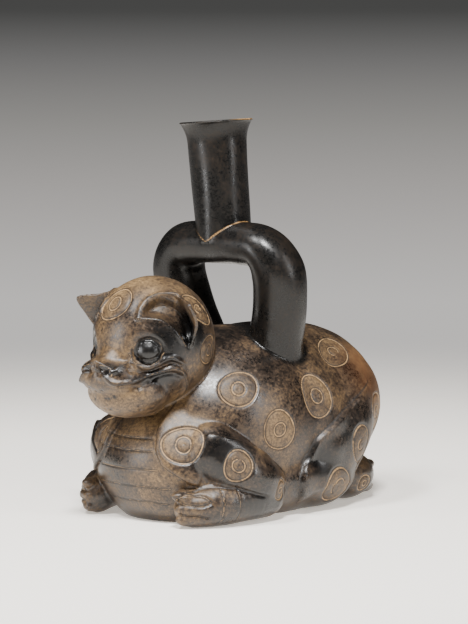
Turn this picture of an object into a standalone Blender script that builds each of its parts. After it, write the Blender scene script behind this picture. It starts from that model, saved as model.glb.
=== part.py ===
# Stirrup spout vessel in the form of a crouching feline, one hollow piece of fired clay.
# Metres, +Z up. The animal faces -Y, its left flank is +X, and the stirrup stands across its back.
# The origin is on the ground, below the middle of the body.
import math

import bmesh
import bpy
import numpy as np
from mathutils import Euler

# Driving dimensions
FIGURE_LENGTH = 0.200     # the animal, which sets all its proportions
VESSEL_HEIGHT = 0.235     # ground to the middle of the spout's mouth
WALL = 0.0050             # clay thickness of body, stirrup and spout
HEAD_WALL = 0.0090        # the head is thicker, because it is carved deeper
TUBE_RADIUS = 0.0163      # stirrup legs, outside
ARCH_DEPTH = 0.0130       # half the tube's height where it passes under the spout
ARCH_HEIGHT = 0.1610      # tube's centre line at the top of the arch
ARCH_HALF_WIDTH = 0.0405  # tube's centre line where the arch is widest
FOOT_HALF_WIDTH = 0.0290  # tube's centre line where each leg enters the back
FOOT_FLARE = 0.0016       # how far a leg widens at its foot
FLARE_HEIGHT = 0.0300     # height of that widening
SPOUT_RADIUS = 0.0162     # spout above the arch, outside
NECK_RADIUS = 0.0182      # spout below its lip, outside
LIP_RADIUS = 0.0226       # rim, outside
LIP_HEIGHT = 0.0150       # length of the spout's flare
LIP_EDGE = 0.0022         # clay left at the very rim
SPOUT_DRIFT = (-0.0038, -0.0032)  # sideways and forward lean of the spout over its length
STIRRUP_DRIFT = -0.0120   # forward lean of the arch from its feet to its top
STIRRUP_PLACE = 0.0030    # feet of the stirrup, behind the middle of the body

# Working fineness
CLAY_GRAIN = 0.0014       # voxel that joins the lumps
CAVITY_GRAIN = 0.0025
SKIN_TRIANGLES = 6500
CAVITY_TRIANGLES = 1500

# The figure is drawn on a grid of 200 steps along its length.
STEP = FIGURE_LENGTH / 200
BACK_HEIGHT = 100 * STEP  # where the stirrup's legs enter the back
FOOT_SINK = 16 * STEP     # how far they run on inside it

# Broad masses that flow into each other: centre, half sizes, and turns about X, Y and Z in degrees
TORSO = ((0, -6, 51), (62, 74, 60), (0, 0, 0))
BELLY = ((0, 0, 21), (62, 76, 30), (0, 0, 0))
WAIST = ((0, 20, 54), (64, 62, 57), (0, 0, 0))
RUMP = ((0, 45, 59), (63, 60, 51), (0, 0, 0))
CHEST = ((0, -50, 32), (54, 44, 42), (0, 0, 0))
THIGH = ((39, 38, 42), (27, 28, 46), (-35, 0, 0))
KNEE = ((44, 23, 21), (21, 32, 21), (0, 0, 0))
SKULL = ((0, -71, 105), (36, 37, 39), (0, 0, 0))
BRIDGE = ((0, -93, 99), (12, 22, 11), (14, 0, 0))
MUZZLE = ((0, -100, 87), (20, 21, 11), (0, 0, 0))
NOSE = ((0, -113, 92), (11, 7, 6), (0, 0, 0))
JAW = ((0, -91, 78), (25, 24, 16), (0, 0, 0))
HIND_FOOT = ((37, 60, 15), (18, 22, 15), (0, 0, 0))
EYE = ((19, -94.5, 102.5), (8.2, 8.2, 7.8), (0, 0, 0))
RIGHT_EYE = ((-17.2, -92.2, 102.5), (7.6, 7.6, 7.4), (0, 0, 0))   # set in deeper than the left one

# Limbs: place and radius at each joint
UPPER_ARM = ((36, -60, 40, 20), (45, -54, 34, 18), (53, -44, 27, 15), (54, -33, 21, 12))
FOREARM = ((50, -31, 15, 14), (50, -48, 15, 14), (46, -66, 13, 13), (39, -79, 11, 11))
TAIL = ((0, 96, 80, 6), (1, 102, 55, 6), (5, 91, 28, 6), (20, 79, 10, 6))
LIMB_BALLS = 14

# Each ear is a sheet between its rim and its root, both drawn from the forehead over the tip to the cheek.
EAR_RIM = ((16, -99, 120), (15, -93, 129.5), (18, -84, 135.5), (24, -78, 135), (34, -81, 132), (46, -89, 130),
           (45, -82, 119), (36, -77, 105))
EAR_ROOT = ((14, -94, 119), (13, -88, 126), (15, -80, 129), (20, -73, 128), (25, -70, 123), (30, -69, 116),
            (30, -69, 110), (30, -71, 102))
EAR_THICKNESS = 3.2
EAR_ROWS, EAR_COLUMNS = 40, 8
# The head is sunk between the ear's inner edge, where it drops steeply, and the ear's front, where it slopes.
EAR_EDGE = ((17, -99, 121), (16, -94, 128), (19, -86, 133), (24, -80, 132), (29, -75, 127), (32, -72, 120),
            (33, -72, 112), (35, -76, 105))
EAR_FRONT = ((17, -101, 121), (21, -97, 121), (25, -91, 119), (28, -87, 115), (32, -84, 111), (35, -80, 105))
EAR_DEPTH, EAR_DROP, EAR_SLOPE, EAR_REACH = 6.0, 2.5, 9, 24

# Claws, one above another on the edge of each paw
FORE_CLAWS = (
    ((38, -85, 19.5), (5, 13, 4), (-10, 0, -22)),
    ((38, -82, 12.5), (5.5, 11, 4), (0, 0, -22)),
    ((38, -81, 5.5), (6, 11, 4.5), (0, 0, -22)),
)
HIND_CLAWS = (
    ((44, 76, 20), (4, 8, 3.4), (0, 0, 20)),
    ((45, 74, 13.5), (4, 8, 3.4), (0, 0, 20)),
    ((46, 72, 7), (4, 8, 3.4), (0, 0, 20)),
)

# Carved edges on the left side, which the right side mirrors
THIGH_EDGE = ((59, 60, 75), (62, 45, 68), (63, 36, 63), (63, 27, 59), (64, 18, 53), (62, 9, 48), (61, 4, 43),
              (59, -2, 33), (61, -8, 24), (60, -8, 14), (55, -4, 5))
ARM_EDGE = ((19, -71, 71), (17, -76, 64), (16, -82, 57), (19, -89, 49), (21, -90, 42), (26, -90, 35),
            (33, -87, 30), (38, -81, 26), (44, -75, 23))
LIP = ((2, -119, 93), (10, -120, 88), (13, -118, 85), (19, -111, 85), (21, -104, 87), (23, -97, 89),
       (28, -92, 91), (32, -87, 92), (33, -81, 90), (32, -76, 84), (26, -72, 77), (19, -73, 72))
LOWER_LID = ((13, -115, 92), (14, -110, 95), (14, -105, 96), (18, -102, 94), (22, -98, 93), (26, -95, 95),
             (31, -89, 99), (33, -83, 96), (34, -76, 90))
THIGH_STEP, THIGH_REACH = 3.0, 56
ARM_STEP, ARM_REACH = 2.2, 14
EDGE_WIDTH = 3.2
LIP_RISE, LIP_WIDTH = 1.8, 2.2
LID_RISE, LID_WIDTH = 1.3, 1.8
EYE_SOCKET = (21, -99, 103)
SOCKET_DEPTH, SOCKET_WIDTH = 3.6, 13.5


def soft_step(value):
    value = np.clip(value, 0, 1)
    return value * value * (3 - 2 * value)


def spline(points, count):
    """Evenly timed rows on a smooth curve through the given rows, of any width."""
    rows = np.asarray(points, float)
    padded = np.vstack([2 * rows[0] - rows[1], rows, 2 * rows[-1] - rows[-2]])
    t = np.linspace(0, len(rows) - 1, count)
    i = np.minimum(t.astype(int), len(rows) - 2)
    f = (t - i)[:, None]
    a, b, c, d = (padded[i + k] for k in range(4))
    return 0.5 * (2 * b + (c - a) * f + (2 * a - 5 * b + 4 * c - d) * f**2 + (3 * b - a - 3 * c + d) * f**3)


def ball(clay, place, half, turn=(0, 0, 0), side=1):
    """Adds an ellipsoid to the clay, mirrored in X when side is -1."""
    tilt, roll, yaw = (math.radians(angle) for angle in turn)
    made = bmesh.ops.create_icosphere(clay, subdivisions=4, radius=1)["verts"]
    bmesh.ops.scale(clay, vec=[STEP * size for size in half], verts=made)
    bmesh.ops.rotate(clay, matrix=Euler((tilt, side * roll, side * yaw)).to_matrix(), verts=made)
    bmesh.ops.translate(clay, vec=(side * STEP * place[0], STEP * place[1], STEP * place[2]), verts=made)


def limb(clay, joints, side=1):
    """Adds a tapered limb with round ends through the joints."""
    for x, y, z, radius in spline(joints, LIMB_BALLS):
        ball(clay, (x, y, z), (radius, radius, radius), side=side)


def sweep(clay, path, wide, deep, across, sides=32):
    """Adds a closed tube along the path. wide is its half size along across, deep the other way."""
    path = np.asarray(path, float)
    ahead = np.gradient(path, axis=0)
    ahead /= np.linalg.norm(ahead, axis=1)[:, None]
    across = np.asarray(across, float) - (ahead @ np.asarray(across, float))[:, None] * ahead
    across /= np.linalg.norm(across, axis=1)[:, None]
    upward = np.cross(ahead, across)
    turn = np.linspace(0, 2 * math.pi, sides, endpoint=False)
    wide = np.broadcast_to(wide, len(path))[:, None, None]
    deep = np.broadcast_to(deep, len(path))[:, None, None]
    rings = path[:, None] + across[:, None] * wide * np.cos(turn)[None, :, None]
    rings = rings + upward[:, None] * deep * np.sin(turn)[None, :, None]
    add_rings(clay, rings)


def add_rings(clay, rings):
    """Adds the closed skin that runs from ring to ring and covers the first and the last."""
    verts = [[clay.verts.new(point) for point in ring] for ring in rings]
    for near, far in zip(verts, verts[1:]):
        for k in range(len(near)):
            clay.faces.new((near[k - 1], near[k], far[k], far[k - 1]))
    clay.faces.new(verts[0][::-1])
    clay.faces.new(verts[-1])


def mesh_of(clay, name):
    mesh = bpy.data.meshes.new(name)
    bmesh.ops.recalc_face_normals(clay, faces=clay.faces)
    clay.to_mesh(mesh)
    clay.free()
    return mesh


def placed(name, mesh):
    thing = bpy.data.objects.new(name, mesh)
    bpy.context.scene.collection.objects.link(thing)
    return thing


def finished(thing):
    """The mesh of an object with its modifiers applied. The object itself goes."""
    bpy.context.view_layer.update()
    mesh = bpy.data.meshes.new_from_object(thing.evaluated_get(bpy.context.evaluated_depsgraph_get()))
    bpy.data.objects.remove(thing)
    return mesh


def fused(mesh, grain, passes):
    """Joins the overlapping lumps of a mesh into one skin and softens it."""
    thing = placed(mesh.name, mesh)
    join = thing.modifiers.new("join", "REMESH")
    join.mode = "VOXEL"
    join.voxel_size = grain
    soften = thing.modifiers.new("soften", "SMOOTH")
    soften.factor = 0.5
    soften.iterations = passes
    return finished(thing)


def thinned(mesh, triangles, floor):
    """The mesh with about that many triangles, and flat where it lies on the floor."""
    thing = placed(mesh.name, mesh)
    thin = thing.modifiers.new("fewer faces", "DECIMATE")
    thin.ratio = min(1.0, triangles / (2 * len(mesh.polygons)))
    mesh = finished(thing)
    press_flat(mesh, floor)
    return mesh


def press_flat(mesh, floor, slack=0.0002):
    """Lifts to the floor whatever is below it or a hair above it."""
    places = read_vectors(mesh.vertices, "co")
    places[places[:, 2] < floor + slack, 2] = floor
    mesh.vertices.foreach_set("co", places.ravel())
    mesh.update()


def read_vectors(elements, kind):
    values = np.empty(len(elements) * 3)
    elements.foreach_get(kind, values)
    return values.reshape(-1, 3)


def stirrup_line(count=64):
    """Centre line of the stirrup from one foot over the arch to the other, as rows of x, y, z."""
    rise = ARCH_HEIGHT - BACK_HEIGHT
    spread = ARCH_HALF_WIDTH - FOOT_HALF_WIDTH
    half = [
        (FOOT_HALF_WIDTH, BACK_HEIGHT - FOOT_SINK),
        (FOOT_HALF_WIDTH + 0.20 * spread, BACK_HEIGHT),
        (FOOT_HALF_WIDTH + 0.86 * spread, BACK_HEIGHT + 0.42 * rise),
        (ARCH_HALF_WIDTH, BACK_HEIGHT + 0.74 * rise),
        (0.80 * ARCH_HALF_WIDTH, BACK_HEIGHT + 0.95 * rise),
        (0.40 * ARCH_HALF_WIDTH, ARCH_HEIGHT),
    ]
    whole = half + [(0, ARCH_HEIGHT)] + [(-x, z) for x, z in half[::-1]]
    x, z = spline(whole, count).T
    y = STIRRUP_PLACE + STIRRUP_DRIFT * (z - BACK_HEIGHT) / rise
    return np.stack([x, y, z], 1)


def add_stirrup(clay, inset=0.0):
    """Adds the stirrup, or its bore when inset is the wall."""
    line = stirrup_line()
    height = line[:, 2]
    flatness = soft_step(1 - (ARCH_HEIGHT - height) / (TUBE_RADIUS * 1.1))
    flare = FOOT_FLARE * np.clip(1 - (height - height.min()) / FLARE_HEIGHT, 0, 1)
    wide = TUBE_RADIUS + flare - inset
    deep = wide + (ARCH_DEPTH - TUBE_RADIUS) * flatness
    sweep(clay, line, wide, deep, (0, 1, 0))


def add_spout(clay, inset=0.0, past=0.003):
    """Adds the spout, or its bore, which runs out past the lip."""
    length = VESSEL_HEIGHT - ARCH_HEIGHT
    plain = length - LIP_HEIGHT
    height = np.append(np.linspace(0, plain, 5), np.linspace(plain, length, 10)[1:])
    flare = np.clip((height - plain) / LIP_HEIGHT, 0, 1)
    radius = SPOUT_RADIUS + (NECK_RADIUS - SPOUT_RADIUS) * np.clip(height / plain, 0, 1)
    radius = radius + (LIP_RADIUS - NECK_RADIUS) * flare**2.2
    if inset:
        radius = radius - inset + (inset - LIP_EDGE) * flare**1.5
        height = np.append(height, length + past)
        radius = np.append(radius, radius[-1])
    share = height / length
    x = SPOUT_DRIFT[0] * share
    y = STIRRUP_PLACE + STIRRUP_DRIFT + SPOUT_DRIFT[1] * share
    sweep(clay, np.stack([x, y, ARCH_HEIGHT + height], 1), radius, radius, (1, 0, 0))


def add_ear(clay, side):
    """Adds an ear, a thick sheet between its rim and its root."""
    rim, root = (spline(rows, EAR_ROWS) * (side * STEP, STEP, STEP) for rows in (EAR_RIM, EAR_ROOT))
    share = np.linspace(0, 1, EAR_COLUMNS)[None, :, None]
    sheet = root[:, None] + share * (rim - root)[:, None]
    normal = np.cross(np.gradient(sheet, axis=0), np.gradient(sheet, axis=1))
    normal *= EAR_THICKNESS / 2 * STEP / np.linalg.norm(normal, axis=2)[:, :, None]
    add_rings(clay, np.concatenate([sheet + normal, (sheet - normal)[:, ::-1]], 1))


def beside(places, normals, curve, reach):
    """Each place's distance from the curve, its share of the way along it, and how far left of it it is."""
    far = np.full(len(places), np.inf)
    along = np.zeros(len(places))
    left = np.zeros(len(places))
    near = np.where(((places > curve.min(0) - reach) & (places < curve.max(0) + reach)).all(1))[0]
    start, run = curve[:-1], np.diff(curve, axis=0)
    offset = places[near, None] - start
    share = np.clip((offset * run).sum(2) / (run * run).sum(1), 0, 1)
    offset = offset - share[:, :, None] * run
    gap = np.linalg.norm(offset, axis=2)
    best = gap.argmin(1)
    rows = np.arange(len(near))
    far[near] = gap[rows, best]
    along[near] = (best + share[rows, best]) / len(run)
    aside = np.cross(normals[near], run[best] / np.linalg.norm(run[best], axis=1)[:, None])
    left[near] = (aside * offset[rows, best]).sum(1)
    return far, along, left


def hollow_ears(head):
    """Sinks the head behind the front of each ear, up to its inner edge."""
    places = read_vectors(head.vertices, "co")
    normals = read_vectors(head.vertex_normals, "vector")
    sunk = np.zeros(len(places))
    for side in (1, -1):
        past_edge, past_front = (
            beside(places, normals, spline(rows, 50) * (side * STEP, STEP, STEP), EAR_REACH * STEP)[2] / STEP
            for rows in (EAR_EDGE, EAR_FRONT)
        )
        drop = soft_step(-side * past_edge / EAR_DROP) * soft_step(side * past_front / EAR_SLOPE)
        sunk += EAR_DEPTH * STEP * drop
    head.vertices.foreach_set("co", (places - normals * sunk[:, None]).ravel())
    head.update()


def carve(skin):
    """Raises the thighs, arms, lips and lids along their edges, and sinks the eye sockets."""
    places = read_vectors(skin.vertices, "co")
    normals = read_vectors(skin.vertex_normals, "vector")
    lift = np.zeros(len(places))
    for side in (1, -1):
        flip = np.array((side * STEP, STEP, STEP))
        for edge, rise, reach in ((THIGH_EDGE, THIGH_STEP, THIGH_REACH), (ARM_EDGE, ARM_STEP, ARM_REACH)):
            far, along, left = beside(places, normals, spline(edge, 60) * flip, reach * STEP)
            ends = soft_step(along / 0.12) * soft_step((1 - along) / 0.08)
            fade = (1 - soft_step(far / (reach * STEP))) * ends
            lift += rise * STEP * soft_step(0.5 + side * left / (EDGE_WIDTH * STEP)) * fade
        for edge, rise, width in ((LIP, LIP_RISE, LIP_WIDTH), (LOWER_LID, LID_RISE, LID_WIDTH)):
            far, along, left = beside(places, normals, spline(edge, 60) * flip, 3 * width * STEP)
            lift += rise * STEP * np.exp(-((far / (width * STEP)) ** 2)) * soft_step((1 - along) / 0.15)
        from_socket = np.linalg.norm(places - EYE_SOCKET * flip, axis=1)
        eye, half, turn = EYE if side == 1 else RIGHT_EYE
        from_eye = np.linalg.norm(places - np.array(eye) * STEP, axis=1)
        sunk = SOCKET_DEPTH * STEP * (1 - soft_step(from_socket / (SOCKET_WIDTH * STEP)))
        lift -= np.where(from_eye > (half[0] + 0.5) * STEP, sunk, 0)
    skin.vertices.foreach_set("co", (places + normals * lift[:, None]).ravel())
    skin.update()


def build_skin():
    """The whole outside as one skin, standing flat on the ground."""
    clay = bmesh.new()
    for lump in (TORSO, BELLY, WAIST, RUMP, CHEST):
        ball(clay, *lump)
    for side in (1, -1):
        ball(clay, *THIGH, side)
        ball(clay, *KNEE, side)
    body = fused(mesh_of(clay, "body"), CLAY_GRAIN, 40)
    clay = bmesh.new()
    for lump in (SKULL, BRIDGE, MUZZLE, NOSE, JAW):
        ball(clay, *lump)
    head = fused(mesh_of(clay, "head"), CLAY_GRAIN, 10)
    hollow_ears(head)
    clay = bmesh.new()
    clay.from_mesh(body)
    clay.from_mesh(head)
    for side in (1, -1):
        for lump in (HIND_FOOT, *FORE_CLAWS, *HIND_CLAWS):
            ball(clay, *lump, side)
        for joints in (UPPER_ARM, FOREARM):
            limb(clay, joints, side)
        add_ear(clay, side)
    ball(clay, *EYE)
    ball(clay, *RIGHT_EYE)
    limb(clay, TAIL)
    add_stirrup(clay)
    skin = fused(mesh_of(clay, "skin"), CLAY_GRAIN, 4)
    carve(skin)
    press_flat(skin, 0)
    return thinned(skin, SKIN_TRIANGLES, 0)


def build_cavity():
    """The hollow of body and head, with both bores of the stirrup. The spout's bore is a cut of its own."""
    clay = bmesh.new()
    for place, half, turn in (TORSO, BELLY, WAIST, RUMP, CHEST, SKULL):
        wall = HEAD_WALL if place is SKULL[0] else WALL
        ball(clay, place, [size - wall / STEP for size in half], turn)
    rooms = fused(mesh_of(clay, "rooms"), CAVITY_GRAIN, 4)
    press_flat(rooms, WALL)
    clay = bmesh.new()
    clay.from_mesh(rooms)
    add_stirrup(clay, WALL)
    return thinned(fused(mesh_of(clay, "cavity"), CLAY_GRAIN, 2), CAVITY_TRIANGLES, WALL)


def build_spout(inset=0.0):
    clay = bmesh.new()
    add_spout(clay, inset)
    return mesh_of(clay, "spout")


def fired_clay():
    clay = bpy.data.materials.new("burnished earthenware")
    clay.use_nodes = True
    shader = clay.node_tree.nodes["Principled BSDF"]
    shader.inputs["Base Color"].default_value = (0.105, 0.070, 0.042, 1)
    shader.inputs["Roughness"].default_value = 0.38
    shader.inputs["Metallic"].default_value = 0.0
    return clay


def build_vessel():
    vessel = placed("vessel", build_skin())
    vessel.data.materials.append(fired_clay())
    vessel.data.shade_smooth()
    vessel.data.set_sharp_from_angle(angle=math.radians(40))
    for name, operation, mesh in (
        ("spout", "UNION", build_spout()),
        ("cavity", "DIFFERENCE", build_cavity()),
        ("spout bore", "DIFFERENCE", build_spout(WALL)),
    ):
        tool = placed(name, mesh)
        tool.hide_render = True
        tool.display_type = "WIRE"
        step = vessel.modifiers.new(name, "BOOLEAN")
        step.operation = operation
        step.object = tool
    return vessel


for thing in list(bpy.data.objects):
    bpy.data.objects.remove(thing, do_unlink=True)
vessel = build_vessel()
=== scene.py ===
import math

import bmesh
import bpy
import numpy as np
from mathutils import Euler, Matrix, Vector


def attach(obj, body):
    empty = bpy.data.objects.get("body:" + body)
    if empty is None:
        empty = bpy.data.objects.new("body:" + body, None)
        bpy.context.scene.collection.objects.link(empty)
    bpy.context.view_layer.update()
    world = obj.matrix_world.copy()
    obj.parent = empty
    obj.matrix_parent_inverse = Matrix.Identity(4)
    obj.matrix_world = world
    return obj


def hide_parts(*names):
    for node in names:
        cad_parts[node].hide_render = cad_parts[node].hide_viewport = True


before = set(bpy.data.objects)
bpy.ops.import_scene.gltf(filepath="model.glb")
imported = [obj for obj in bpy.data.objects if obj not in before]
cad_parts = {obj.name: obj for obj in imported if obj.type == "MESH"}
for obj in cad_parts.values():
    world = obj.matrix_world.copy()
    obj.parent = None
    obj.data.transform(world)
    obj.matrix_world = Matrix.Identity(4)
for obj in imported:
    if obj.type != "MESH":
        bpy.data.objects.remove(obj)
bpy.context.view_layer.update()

mm = 0.001

# How fine the meshes are: voxel sizes in millimetres, softening passes and numbers of triangles
fineness = {
    "body": (1.2, 50), "head": (0.9, 16), "rooms": (2.5, 4), "cavity": (1.4, 2), "skinPasses": 4,
    "skin": 0.78, "skinTriangles": 156000, "cavityTriangles": 7000,
    "quickSkin": 1.1, "quickTriangles": 90000,
}

# Points, curves and grids

# s(v) = v^2 (3 - 2 v), held at 0 and 1 outside that range
def softStep(value):
    value = np.clip(value, 0, 1)
    return value * value * (3 - 2 * value)


# A smooth curve through the given rows of any width, read at evenly timed places
def smoothCurve(points, count):
    rows = np.asarray(points, float)
    padded = np.vstack([2 * rows[0] - rows[1], rows, 2 * rows[-1] - rows[-2]])
    t = np.linspace(0, len(rows) - 1, count)
    i = np.minimum(t.astype(int), len(rows) - 2)
    f = (t - i)[:, None]
    a, b, c, d = (padded[i + k] for k in range(4))
    return 0.5 * (2 * b + (c - a) * f + (2 * a - 5 * b + 4 * c - d) * f**2 + (3 * b - a - 3 * c + d) * f**3)


# The quads of a grid of points whose columns close on themselves
def gridFaces(rows, columns):
    row, column = np.meshgrid(np.arange(rows - 1), np.arange(columns), indexing="ij")
    after = (column + 1) % columns
    start, above = row * columns, (row + 1) * columns
    return np.stack([start + column, start + after, above + after, above + column], -1).reshape(-1, 4)


# Ellipsoid: p(a, b) = place + turn * half * (sin a cos b, sin a sin b, cos a), with each factor raised
# to the power blunt, so that less than 1 makes it boxier
def lump(clay, place, half, turn=(0, 0, 0), side=1, blunt=1.0, rows=40, columns=64):
    a = np.linspace(0, math.pi, rows)[:, None]
    b = np.linspace(0, 2 * math.pi, columns, endpoint=False)[None]
    shape = np.stack(np.broadcast_arrays(np.sin(a) * np.cos(b), np.sin(a) * np.sin(b), np.cos(a)), -1)
    shape = np.sign(shape) * np.abs(shape) ** blunt * np.asarray(half, float)
    tilt, roll, yaw = (math.radians(angle) for angle in turn)
    spin = np.array(Euler((tilt, side * roll, side * yaw)).to_matrix())
    points = shape.reshape(-1, 3) @ spin.T + np.array((side * place[0], place[1], place[2]))
    clay.append((points, gridFaces(rows, columns)))


# Tapered limb: balls whose place and radius run along a smooth curve through the joints
def limb(clay, joints, side=1, count=16):
    for x, y, z, radius in smoothCurve(joints, count):
        lump(clay, (x, y, z), (radius,) * 3, side=side, rows=20, columns=32)


# Tube: p(s, b) = path(s) + wide(s) cos b across + deep(s) sin b upward, drawn to a point at both ends
def tube(clay, path, wide, deep, across, columns=72):
    path = np.asarray(path, float)
    ahead = np.gradient(path, axis=0)
    ahead /= np.linalg.norm(ahead, axis=1)[:, None]
    path, ahead = (np.vstack([rows[:1], rows, rows[-1:]]) for rows in (path, ahead))
    across = np.asarray(across, float) - (ahead @ np.asarray(across, float))[:, None] * ahead
    across /= np.linalg.norm(across, axis=1)[:, None]
    upward = np.cross(ahead, across)
    ends = np.ones(len(path))
    ends[[0, -1]] = 0
    wide = np.pad(np.broadcast_to(wide, len(path) - 2), 1, mode="edge") * ends
    deep = np.pad(np.broadcast_to(deep, len(path) - 2), 1, mode="edge") * ends
    b = np.linspace(0, 2 * math.pi, columns, endpoint=False)[None, :, None]
    rings = path[:, None] + across[:, None] * wide[:, None, None] * np.cos(b)
    rings = rings + upward[:, None] * deep[:, None, None] * np.sin(b)
    clay.append((rings.reshape(-1, 3), gridFaces(len(path), columns)))


# One mesh, in metres, of all the grids of points and faces in the clay
def meshOf(clay, name):
    starts = np.cumsum([0] + [len(points) for points, faces in clay])
    points = np.vstack([points for points, faces in clay]) * mm
    faces = np.vstack([faces + start for start, (p, faces) in zip(starts, clay)])
    mesh = bpy.data.meshes.new(name)
    mesh.from_pydata(points, [], faces)
    mesh.validate()
    return mesh


# A mesh's points, in millimetres
def pointsOf(mesh):
    flat = np.empty(len(mesh.vertices) * 3)
    mesh.vertices.foreach_get("co", flat)
    return flat.reshape(-1, 3) / mm


def normalsOf(mesh):
    flat = np.empty(len(mesh.vertices) * 3)
    mesh.vertex_normals.foreach_get("vector", flat)
    return flat.reshape(-1, 3)


def setPoints(mesh, points):
    mesh.vertices.foreach_set("co", (points * mm).ravel())
    mesh.update()


def placed(name, mesh):
    thing = bpy.data.objects.new(name, mesh)
    bpy.context.scene.collection.objects.link(thing)
    return thing


# The mesh of an object with its modifiers applied. The object itself goes.
def finished(thing):
    bpy.context.view_layer.update()
    mesh = bpy.data.meshes.new_from_object(thing.evaluated_get(bpy.context.evaluated_depsgraph_get()))
    bpy.data.objects.remove(thing)
    return mesh


# One skin round all the lumps of a mesh, softened by so many passes
def fused(mesh, grain, passes):
    thing = placed(mesh.name, mesh)
    join = thing.modifiers.new("join", "REMESH")
    join.mode = "VOXEL"
    join.voxel_size = grain * mm
    if passes:
        soften = thing.modifiers.new("soften", "SMOOTH")
        soften.factor = 0.5
        soften.iterations = passes
    return finished(thing)


# Thins a mesh of quads to about that many triangles
def thinned(mesh, triangles):
    thing = placed(mesh.name, mesh)
    thin = thing.modifiers.new("fewer faces", "DECIMATE")
    thin.ratio = min(1.0, triangles / (2 * len(mesh.polygons)))
    return finished(thing)


# Points below the floor, or just above it, come to lie on it
def pressFlat(points, floor, slack=0.2):
    points[points[:, 2] < floor + slack, 2] = floor
    return points


# The vessel: one fired piece, drawn as lumps, limbs, a stirrup and a spout, then carved along curves.
# A lump is its middle, its half sizes and, where it is turned, its tilt, roll and yaw in degrees.
# A limb is a row of places, each with the radius there.
vessel = {
    "torso": ((0, -6, 51), (62, 74, 60)),
    "belly": ((0, 0, 21), (62, 76, 30)),
    "waist": ((0, 20, 54), (64, 62, 57)),
    "rump": ((0, 45, 59), (63, 60, 51)),
    "chest": ((0, -50, 32), (54, 44, 42)),
    "thigh": ((39, 38, 42), (27, 28, 46), (-35, 0, 0)),
    "skull": ((0, -71, 105), (36, 37, 39)),
    "bridge": ((0, -93, 99), (12, 22, 11), (14, 0, 0)),
    "muzzle": ((0, -100, 87), (20, 21, 11)),
    "nose": ((0, -113, 92), (11, 7, 6)),
    "jaw": ((0, -91, 78), (25, 24, 16)),
    "haunch": ((45, 22, 37), (20, 22, 23)),
    "knee": ((44, 23, 21), (21, 32, 21)),
    "hindFoot": ((37, 60, 15), (18, 22, 15)),
    "eye": ((19, -94.5, 102.5), (8.2, 8.2, 7.8)),
    "rightEye": ((-17.2, -92.2, 102.5), (7.6, 7.6, 7.4)),  # set in deeper than the left one
    "socket": ((21, -99, 103), 13.5, 4.0),
    "upperArm": ((36, -60, 40, 20), (45, -54, 34, 18), (53, -44, 27, 15), (54, -33, 21, 12)),
    "forearm": ((50, -31, 15, 14), (50, -48, 15, 14), (46, -66, 13, 13), (39, -79, 11, 11)),
    "tail": ((0, 96, 80, 6), (1, 102, 55, 6), (5, 91, 28, 6), (20, 79, 10, 6)),
    "foreClaws": (
        ((40, -83, 18), (5, 11, 3.8), (-8, 0, -22)),
        ((40, -82, 11.5), (5.5, 10, 3.8), (0, 0, -22)),
        ((40, -81, 5), (6, 10, 4.2), (0, 0, -22)),
    ),
    "hindClaws": (
        ((44, 76, 20), (4, 8, 3.4), (0, 0, 20)),
        ((45, 74, 13.5), (4, 8, 3.4), (0, 0, 20)),
        ((46, 72, 7), (4, 8, 3.4), (0, 0, 20)),
    ),
    # The ear is a sheet between its rim and its root, both drawn from the forehead over the tip to the cheek
    "earRim": ((16, -99, 120), (15, -93, 129.5), (18, -84, 135.5), (24, -78, 135), (34, -81, 132), (46, -89, 130),
               (45, -82, 119), (36, -77, 105)),
    "earRoot": ((14, -94, 119), (13, -88, 126), (15, -80, 129), (20, -73, 128), (25, -70, 123), (30, -69, 116),
                (30, -69, 110), (30, -71, 102)),
    "earThickness": 2.6,
    # the head is sunk between the ear's inner edge, where it drops steeply, and the ear's front, where it slopes
    "earHollow": {
        "edge": ((17, -99, 121), (16, -94, 128), (19, -86, 133), (24, -80, 132), (29, -75, 127), (32, -72, 120),
                 (33, -72, 112), (35, -76, 105)),
        "front": ((17, -101, 121), (21, -97, 121), (25, -91, 119), (28, -87, 115), (32, -84, 111), (35, -80, 105)),
        "depth": 6.2, "drop": 2.0, "slope": 9, "reach": 24,
    },
    # heights are above the floor. The feet stand at place, and the arch leans forward from there.
    "stirrup": {"radius": 16.3, "archDepth": 13, "archHeight": 161, "archHalf": 40.5, "footHalf": 29,
                "back": 100, "sink": 16, "place": 3, "lean": -12, "flare": 1.6, "flareHeight": 30},
    "spout": {"top": 235, "foot": 16.2, "neck": 18.2, "lip": 22.6, "flare": 15, "edge": 2.2,
              "lean": (-3.8, -3.2), "tilt": 0.065},
    "wall": 5,
    "headWall": 9,
}


# Centre line of the stirrup, from one foot over the arch to the other: x and z run along a smooth curve, and
# y = place + lean (z - back) / (archHeight - back)
def stirrupLine(count=120):
    s = vessel["stirrup"]
    rise = s["archHeight"] - s["back"]
    spread = s["archHalf"] - s["footHalf"]
    half = [
        (s["footHalf"], s["back"] - s["sink"]),
        (s["footHalf"] + 0.20 * spread, s["back"]),
        (s["footHalf"] + 0.86 * spread, s["back"] + 0.42 * rise),
        (s["archHalf"], s["back"] + 0.74 * rise),
        (0.80 * s["archHalf"], s["back"] + 0.95 * rise),
        (0.40 * s["archHalf"], s["archHeight"]),
    ]
    whole = half + [(0, s["archHeight"])] + [(-x, z) for x, z in half[::-1]]
    x, z = smoothCurve(whole, count).T
    return np.stack([x, s["place"] + s["lean"] * (z - s["back"]) / rise, z], 1)


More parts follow.
